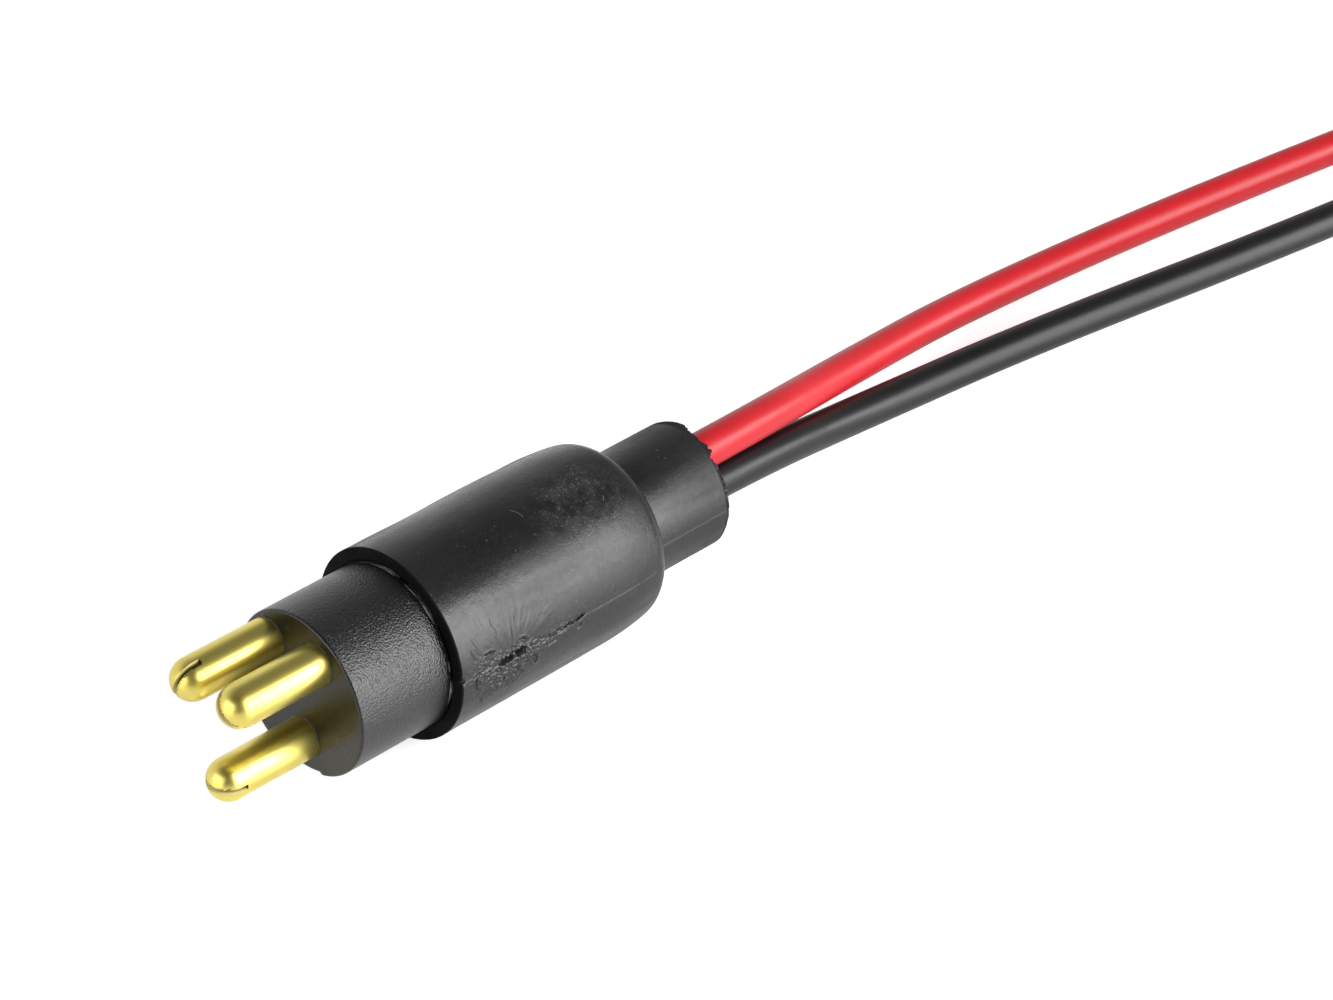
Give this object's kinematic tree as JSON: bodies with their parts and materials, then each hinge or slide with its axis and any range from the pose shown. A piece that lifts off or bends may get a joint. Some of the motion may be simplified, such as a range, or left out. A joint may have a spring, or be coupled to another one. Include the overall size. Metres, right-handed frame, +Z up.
{
  "type": "trolling motor plug",
  "caption": "Round rubber-booted power plug with split brass pins in a hard carrier and two insulated battery leads that trail behind it with stripped ends.",
  "frame": {"origin": "on the surface that the plug lies on, under the middle of the plug measured without its leads", "axes": "+X is the mating direction, the way the pins point; +Z is up from the surface; the leads trail towards -X"},
  "size_m": [0.2302, 0.0286, 0.0223],
  "materials": {
    "boot_rubber": "satin",
    "carrier_plastic": "fine spark-eroded grain",
    "contact_brass": "turned",
    "red_insulation": "satin",
    "black_insulation": "satin",
    "conductor_copper": "bare strands"
  },
  "bodies": {
    "root": {"rubber_boot": "boot_rubber", "pin_carrier": "carrier_plastic", "positive_contact": "contact_brass", "negative_contact": "contact_brass", "spare_contact": "contact_brass", "red_lead": "red_insulation", "black_lead": "black_insulation", "red_crimped_strands": "conductor_copper", "black_crimped_strands": "conductor_copper", "red_stripped_strands": "conductor_copper", "black_stripped_strands": "conductor_copper"}
  },
  "joints": []
}
